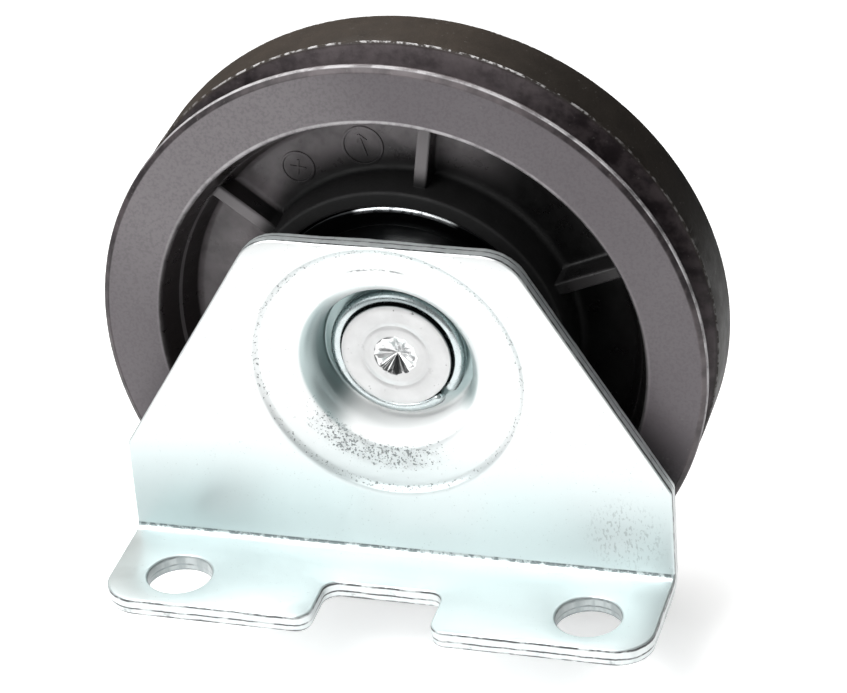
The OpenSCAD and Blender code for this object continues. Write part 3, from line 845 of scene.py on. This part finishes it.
def build_wheel():
    """The moulding is one grid: its section's rows turned about the axle, with columns along each rib."""
    hub_z = FLOOR_BACK - 0.5 - WHEEL_FRONT
    seat_z = BEARING_BACK - WHEEL_FRONT
    lip_z = W_HI[1] - WHEEL_FRONT
    # (radius, depth behind the wheel's front, corner radius), from the front pocket's lip outwards
    section = [
        (LIP_R, 0, 0.35), (32.45, 0, 0.18), (CREST_R, 0.38, 0.12), (CREST_R, 1.0, 0.16),
        (32.72, 1.12, 0.3), (GROOVE_R, 1.3, 1.2), (GROOVE_R, 5.8, 1.2), (32.8, 6.0, 0.25),
        (CREST_R, 6.1, 0.12), (CREST_R, 12.1, 0.3), (32.6, RIM_W, 0.25), (29.6, RIM_W, 0.4),
        (28.3, WEB_BACK, 0.9),
        (18.45, WEB_BACK, 0.7), (HUB_R, lip_z, 0.35), (14.4, lip_z, 0.25), (14.4, seat_z, 0),
        (SEAT_R, seat_z, 0), (SEAT_R, hub_z, 0.35), (17.8, hub_z, 0.40), (18.05, WEB_FRONT, 0.6),
        (24.2, WEB_FRONT, 0.7)]
    section = [(min(a, WHEEL_R), b, c) for a, b, c in section]
    prof = soften(section, step=12)
    # add rows where the ribs need them
    out = []
    for p, q in zip(prof, np.roll(prof, -1, 0)):
        out.append(p)
        length = np.linalg.norm(q - p)
        pocket = 17.5 < min(p[0], q[0]) and max(p[0], q[0]) < 29.7
        pocket &= max(p[1], q[1]) < WEB_FRONT + 0.1 or min(p[1], q[1]) > WEB_BACK - 0.1
        k = int(length / (0.45 if pocket else 1.6))
        out.extend(p + (q - p) * j / (k + 1) for j in range(1, k + 1))
    prof = np.array(out)
    # columns at fixed distances to each side of a rib's middle, then columns spread between the ribs
    side = np.array([0, .25, .42, .52, .60, .66, .70, .715, .735, .752, .80, .88, .98, 1.12, 1.3, 1.6, 2.1])
    side = np.concatenate([-side[:0:-1], side])
    between = np.arange(1, 24) / 24
    far = 9.0                        # stands for "not at a rib"
    r = prof[:, 0][:, None]
    reach = np.arcsin(side[-1] / r)
    cols = []
    sector = math.tau / RIBS
    for i in range(RIBS):
        mid = RIB_AT + i * sector
        lo, hi = mid + reach, mid + sector - reach
        cols += [mid + np.arcsin(side / r), lo + (hi - lo) * between]
    phi = np.concatenate(cols, 1)
    s = np.tile(np.append(side, np.full(len(between), far)), (len(prof), RIBS))
    depth = np.repeat(prof[:, 1][:, None], phi.shape[1], 1)
    front = (prof[:, 0] > 17.6) & (prof[:, 0] < 26.7) & (prof[:, 1] < 7.0)
    front &= ~((prof[:, 0] > 26.3) & (prof[:, 1] < 0.3))
    back = (prof[:, 0] > 18.0) & (prof[:, 0] < 29.7) & (prof[:, 1] > 8.5) & (prof[:, 1] < 12.4)
    f = rib_depth(s, FRONT_RIB, WEB_FRONT, 0.55)
    depth[front] = smin(depth, f, 0.9 * (WEB_FRONT - f) / (WEB_FRONT - FRONT_RIB))[front]
    rear_web = RIM_W - WEB_BACK
    g = rib_depth(s, REAR_RIB, rear_web, 0.45)
    flipped = smin(RIM_W - depth, g, 0.7 * (rear_web - g) / (rear_web - REAR_RIB))
    depth[back] = (RIM_W - flipped)[back]
    verts = around(r, phi, WHEEL_FRONT + depth)
    # the sharp rim edges are worn a little unevenly
    crest = np.zeros(len(prof), bool)
    for edge, width in ((0.38, 0.2), (1.0, 0.15), (6.1, 0.15), (12.2, 0.25)):
        crest |= (prof[:, 0] > CREST_R - 0.2) & (np.abs(prof[:, 1] - edge) < width)
    wobble = np.convolve(RNG.normal(0, 1, phi.shape[1] + 4), np.ones(5) / 5, "valid")
    for i in np.nonzero(crest)[0]:
        cut = 0.018 * np.clip(wobble + RNG.normal(0, 0.5, phi.shape[1]), 0, 2)
        verts[i] = around(prof[i, 0] - cut, phi[i], WHEEL_FRONT + depth[i])
    body = make("wheel_moulding", verts.reshape(-1, 3),
                grid_faces(len(prof), phi.shape[1]), [NYLON], angle=38)
    tidy(body, 2e-6)
    body = join([body, mould_mark(-34, 1.9, CROSS), mould_mark(-12, 2.3, ARROW)], "wheel_moulding")
    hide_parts("pulley_wheel")
    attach(body, "wheel")


# the bars of the two plain moulded marks: start, end, width, depth (negative stands out of the web)
CROSS = [(-0.9, 0, 0.9, 0, 0.22, -0.13), (0, -0.9, 0, 0.9, 0.22, -0.12)]
ARROW = [(0, -1.3, 0, 1.3, 0.24, -0.13), (-0.62, 0.45, 0.0, 1.32, 0.24, -0.12),
         (0.62, 0.45, 0.0, 1.32, 0.24, -0.11)]
MARK_AT = 20.9                   # the marks' distance from the axle


def mould_mark(angle, size, bars):
    """A round mark on the web, at an angle from the top: a raised ring with plain bars in it."""
    cols, foot = 48, 0.05        # foot: how deep the mark's pieces reach into the web
    verts = []
    t = np.linspace(0, math.tau, cols, endpoint=False)
    prof = soften([(size, foot, 0), (size - 0.02, -0.16, 0.05), (size - 0.26, -0.16, 0.05),
                   (size - 0.30, foot, 0)], closed=False)
    for r, h in prof:
        verts.extend((r * math.cos(a), r * math.sin(a), h) for a in t)
    faces = grid_faces(len(prof), cols)

    for x0, y0, x1, y1, w, h in bars:
        start, end = np.array([x0, y0]), np.array([x1, y1])
        d = end - start
        nrm = np.array([-d[1], d[0]]) / np.linalg.norm(d) * w / 2
        c = [start + nrm, end + nrm, end - nrm, start - nrm]
        i = len(verts)
        verts.extend((*q, foot) for q in c)
        verts.extend((*(q * 0.97), h) for q in c)
        faces.extend([(i, i + 1, i + 2, i + 3), (i + 7, i + 6, i + 5, i + 4)])
        faces.extend((i + k, i + 4 + k, i + 4 + (k + 1) % 4, i + (k + 1) % 4) for k in range(4))

    a = math.radians(angle)
    turn = a + 0.5
    v = np.array(verts)
    # local (x, y) lies in the web; local z is depth behind it
    x = v[:, 0] * math.cos(turn) - v[:, 1] * math.sin(turn)
    z = v[:, 0] * math.sin(turn) + v[:, 1] * math.cos(turn)
    pts = np.stack([AXLE_X + MARK_AT * math.sin(a) + x, WHEEL_FRONT + WEB_FRONT + v[:, 2],
                    AXLE_Z + MARK_AT * math.cos(a) + z], 1)
    obj = make("mark", pts, faces, [NYLON], angle=30)
    tidy(obj)
    return obj


# ---------------------------------------------------------------- pin, snap ring and bearing
def build_pin():
    """The pin is one grid of rows round the axle, from the struck star in its end back to its head."""
    front, back = P_LO[1], P_HI[1]
    pin_r, head_r = 5.99, (P_HI[0] - P_LO[0]) / 2
    ring_y = (S_LO[1] + S_HI[1]) / 2
    cols = 168
    phi = np.linspace(0, math.tau, cols, endpoint=False)
    # the struck star in the end face: flutes that run out to an uneven edge
    flutes = 12
    wave = np.abs(((phi * flutes / math.tau) % 1.0) - 0.5) * 2
    lobe = RNG.uniform(-1, 1, flutes)[(phi * flutes / math.tau).astype(int) % flutes]
    rim = 2.12 + 0.14 * wave + 0.09 * lobe
    rows = []
    for r in np.concatenate([[0.0], np.linspace(0.12, 1.0, 14), [1.03]]):
        rad = r * rim
        slope = 0.85 * np.clip(1 - r, 0, 1)
        ridge = 0.13 * (1 - wave) * np.clip(r * 2, 0, 1) * np.clip((1 - r) * 6, 0, 1)
        rows.append(around(rad, phi, front + 0.02 + np.clip(slope - ridge, 0, 0.8)))
    star_rows = len(rows) - 1
    # the end face as (radius, depth), with a shallow turned ring mark and a rounded edge
    face = [(2.45, 0.0), (3.0, 0.0), (3.45, 0.01), (3.55, 0.06), (3.65, 0.075), (3.75, 0.06), (3.85, 0.01),
            (4.3, 0.0), (4.9, 0.0), (5.4, 0.0), (5.82, 0.015), (5.93, 0.05), (5.97, 0.10), (pin_r, 0.17)]
    rows += [around(r, phi, front + d) for r, d in face]
    neck = soften([(pin_r, front + 0.3, 0), (pin_r, ring_y - 0.86, 0.06), (5.75, ring_y - 0.80, 0.1),
                   (5.75, ring_y + 0.80, 0.1), (pin_r, ring_y + 0.86, 0.06), (pin_r, BEARING_BACK, 0),
                   (head_r, BEARING_BACK, 0.12), (head_r, back - 0.3, 0.25), (head_r - 0.8, back, 0.5),
                   (2.2, back, 0.3), (1.7, back - 0.18, 0.3), (0.0, back - 0.18, 0)], closed=False, step=15)
    rows += [around(r, phi, y) for r, y in neck]
    verts = np.concatenate(rows)
    faces = grid_faces(len(rows), cols, wrap_rows=False)
    index = [1 if k < star_rows * cols else 0 for k in range(len(faces))]
    obj = make("pin_turned", verts, faces, [PIN, PUNCH], index, 28)
    tidy(obj)
    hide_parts("axle_pin")
    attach(obj, "frame")


RING_GAP = 0.8       # between the snap ring's two ends


def build_snap_ring():
    """A round wire bent round the pin, with domed ends."""
    mid_y = (S_LO[1] + S_HI[1]) / 2
    wire = (S_HI[1] - S_LO[1]) / 2
    mid_r = (S_HI[0] - S_LO[0]) / 2 - wire
    gap = (RING_GAP + 2 * wire) / mid_r / 2
    at = math.radians(133)           # the gap's angle from the top
    m = 24                           # points round the wire
    rows = []
    # stations along the wire as (angle, share of the wire's radius); ends give the dome
    ends = [(0.02, -0.999), (0.35, -0.94), (0.62, -0.78), (0.82, -0.57), (0.95, -0.31), (1.0, 0.0)]
    stations = ([(a * wire / mid_r, k) for k, a in ends] + [(t, 1.0) for t in np.linspace(0, 1, 150)[1:-1]]
                + [(-a * wire / mid_r, k) for k, a in reversed(ends)])
    arc = math.tau - 2 * gap
    ang = np.linspace(0, math.tau, m, endpoint=False)
    for i, (t, k) in enumerate(stations):
        start = i < len(ends)
        end = i >= len(stations) - len(ends)
        phi = at + gap + (t if start else arc + t if end else t * arc)
        rr = mid_r + wire * k * np.cos(ang)
        rows.append(around(rr, phi, mid_y + wire * k * np.sin(ang)))
    verts = np.concatenate(rows)
    faces = grid_faces(len(rows), m, wrap_rows=False)
    faces += [tuple(range(m - 1, -1, -1)), tuple(range((len(rows) - 1) * m, len(rows) * m))]
    obj = make("snap_ring_wire", verts, faces, [WIRE], angle=50)
    tidy(obj)
    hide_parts("snap_ring")
    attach(obj, "frame")


def track(mid_r, radius, land, mid_y, side):
    """Points of a ball track between two lands. Side is 1 in the inner ring and -1 in the outer one."""
    half = math.acos(abs(mid_r - land) / radius)
    return [(mid_r - side * radius * math.cos(a), mid_y + radius * math.sin(a), 0)
            for a in np.linspace(-half, half, 15)]


def build_bearing():
    """Both rings and both shields, turned from their sections."""
    y0, y1 = R_LO[1], R_HI[1]
    mid = (y0 + y1) / 2
    ball = (span("ball_1")[1][0] - span("ball_1")[0][0]) / 2
    pitch, tr = 11.0, ball * 1.04    # the balls' circle, and the tracks' radius
    outer_land, inner_land, bore = 13.1, 9.15, 6.0
    outer_mid = pitch + ball + 0.03 - tr
    inner_mid = pitch - ball - 0.03 + tr
    outer = ([(16.0, y0, 0.65), (16.0, y1, 0.65), (13.62, y1, 0.1), (13.6, y1 - 1.0, 0.05),
              (outer_land, y1 - 1.01, 0.08)]
             + track(outer_mid, tr, outer_land, mid, -1)[::-1]
             + [(outer_land, y0 + 1.01, 0.08), (13.6, y0 + 1.0, 0.05), (13.62, y0, 0.1)])
    inner = ([(inner_land, y0, 0.3)] + track(inner_mid, tr, inner_land, mid, 1)
             + [(inner_land, y1, 0.3), (bore, y1, 0.5), (bore, y0, 0.5)])
    shield = [(9.45, 0.25, 0.04), (9.45, 0.65, 0.04), (11.2, 0.65, 0.25), (11.6, 0.4, 0.25), (13.2, 0.4, 0.1),
              (13.58, 0.4, 0.05), (13.58, 0.0, 0.08), (11.4, 0.0, 0.25), (11.0, 0.25, 0.25)]
    parts = [("bearing_outer_ring", outer, [RACE], "outer_race", "wheel", "bearing_steel"),
             ("bearing_inner_ring", inner, [RACE], "inner_race", "frame", "inner_race_steel")]
    for end, mat in (("front", SHIELD_SHADED), ("rear", SHIELD)):
        s = [(r, (y0 + 0.6 + d) if end == "front" else (y1 - 0.6 - d), c) for r, d, c in shield]
        parts.append(("bearing_shield_" + end, s, [mat], "shield_" + end, "wheel", "shield_steel"))
    for name, prof, mats, node, body, slot in parts:
        obj = lathe(name, soften(prof, step=18), mats, cols=160, angle=30)
        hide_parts(node)
        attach(obj, body)


def finish_cad_nodes():
    """The balls, cage halves and rivets keep their CAD shape and get real finishes."""
    looks = {"cage_front": CAGE, "cage_rear": CAGE, "cage_rivets": RIVET}
    for name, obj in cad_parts.items():
        mat = BALL if name.startswith("ball_") else looks.get(name)
        for s in obj.material_slots if mat else []:
            s.material = mat


# ---------------------------------------------------------------- studio
def build_floor():
    """A round sheet of pale paper under the part, fading out into the white around it."""
    z = (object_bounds()[0][2] - 0.0002) * 1000      # a hair under the wheel
    n = 96
    t = np.linspace(0, math.tau, n, endpoint=False)
    verts = [(0, 0, z)]
    faces = []
    for k, r in enumerate((60.0, 250.0, 900.0)):
        verts += [(r * math.cos(a), r * math.sin(a), z) for a in t]
        a, b = 1 + k * n, 1 + (k - 1) * n
        for j in range(n):
            q = (j + 1) % n
            faces.append((0, a + j, a + q) if k == 0 else (b + j, a + j, a + q, b + q))
    m = Nodes("floor_paper")
    fade = m.ramp(m.distance_xy(), 80.0, 210.0)
    clear = m.node("BsdfTransparent", {})
    mix = m.node("MixShader", {0: fade, 1: m.bsdf.outputs[0], 2: clear.outputs[0]})
    put(m.tree, m.out.inputs[0], mix.outputs[0])
    paper = m.noise(300, 3, 0.5)
    m.set(base_color=m.mix(paper, (0.80, 0.80, 0.80), (0.82, 0.82, 0.82)), roughness=0.8,
          specular_ior_level=0.1, emission_color=rgb(1, 1, 1), emission_strength=0.55)
    floor = make("floor", verts, faces, [m.mat])


def area_light(name, at, target, size, power):
    data = bpy.data.lights.new(name, "AREA")
    data.shape = "RECTANGLE"
    data.size, data.size_y = size
    data.energy = power
    obj = bpy.data.objects.new(name, data)
    bpy.context.scene.collection.objects.link(obj)
    obj.location = at
    obj.rotation_euler = (Vector(target) - Vector(at)).to_track_quat("-Z", "Y").to_euler()


def build_light():
    """Three soft lamps in a dim room, with plain white behind for the camera."""
    area_light("soft_key", (-0.195, -0.36, 0.60), (0, -0.02, 0), (0.30, 0.26), 2.4)
    area_light("soft_overhead", (-0.30, 0.12, 0.86), (0, 0, 0), (1.1, 1.1), 8.5)
    area_light("soft_front", (-0.42, -0.85, 0.42), (0, 0, 0.02), (0.8, 0.6), 4.2)
    world = bpy.data.worlds.new("studio")
    bpy.context.scene.world = world
    world.use_nodes = True
    nt = world.node_tree
    nt.nodes.clear()
    shown = node(nt, "Background", {0: rgb(1, 1, 1), 1: 1.05})
    room = node(nt, "Background", {1: 0.55})
    path = node(nt, "LightPath", {})
    mix = node(nt, "MixShader", {0: path.outputs["Is Camera Ray"], 1: room.outputs[0], 2: shown.outputs[0]})
    node(nt, "OutputWorld", {0: mix.outputs[0]})
    # a dim room, brighter to the back left, to the left and high up in front
    direction = node(nt, "TexCoord", {}).outputs["Generated"]

    def lobe(towards, lo, hi):
        ends = {0: direction, 1: Vector(towards).normalized()}
        dot = node(nt, "VectorMath", ends, operation="DOT_PRODUCT").outputs["Value"]
        return node(nt, "MapRange", {0: dot, 1: lo, 2: hi}, interpolation_type="SMOOTHSTEP").outputs[0]

    def blend(fac, a, b):
        return node(nt, "Mix", {0: fac, 6: a, 7: b}, data_type="RGBA").outputs[2]

    colour = blend(lobe((-0.35, 0.80, 0.50), 0.60, 0.98), rgb(0.10, 0.115, 0.12), rgb(0.62, 0.56, 0.50))
    colour = blend(lobe((-0.9, -0.3, 0.35), 0.3, 0.95), colour, rgb(0.60, 0.63, 0.65))
    colour = blend(lobe((0.0, -0.85, 0.50), 0.5, 0.97), colour, rgb(0.85, 0.87, 0.87))
    put(nt, room.inputs[0], colour)


def build_camera():
    """The photograph's viewpoint, worked out from the part's own proportions."""
    data = bpy.data.cameras.new("camera")
    data.sensor_width = 36.0
    data.lens = 152.93
    data.clip_start, data.clip_end = 0.01, 20.0
    cam = bpy.data.objects.new("camera", data)
    bpy.context.scene.collection.objects.link(cam)
    az, el, roll = (math.radians(a) for a in (17.775, 30.95, -4.513))
    # the camera's distance and where it aims, right of the hub and above it, in wheel radii
    dist, aim_right, aim_up = (a * WHEEL_R * 0.001 for a in (11.481, 0.0766952, 0.0074092))
    back = Vector((math.sin(az) * math.cos(el), -math.cos(az) * math.cos(el), math.sin(el)))
    right = (-back).cross(Vector((0, 0, 1))).normalized()
    up = right.cross(-back)
    r = math.cos(roll) * right + math.sin(roll) * up
    u = -math.sin(roll) * right + math.cos(roll) * up
    hub = Vector((AXLE_X, WHEEL_FRONT, AXLE_Z)) * 0.001
    place = hub + back * dist + r * aim_right + u * aim_up
    cam.matrix_world = Matrix.Translation(place) @ Matrix((r, u, back)).transposed().to_4x4()
    bpy.context.scene.camera = cam


build_camera()
build_bracket()
build_wheel()
build_pin()
build_snap_ring()
build_bearing()
finish_cad_nodes()
build_floor()
build_light()
bpy.context.scene.view_settings.view_transform = "Standard"
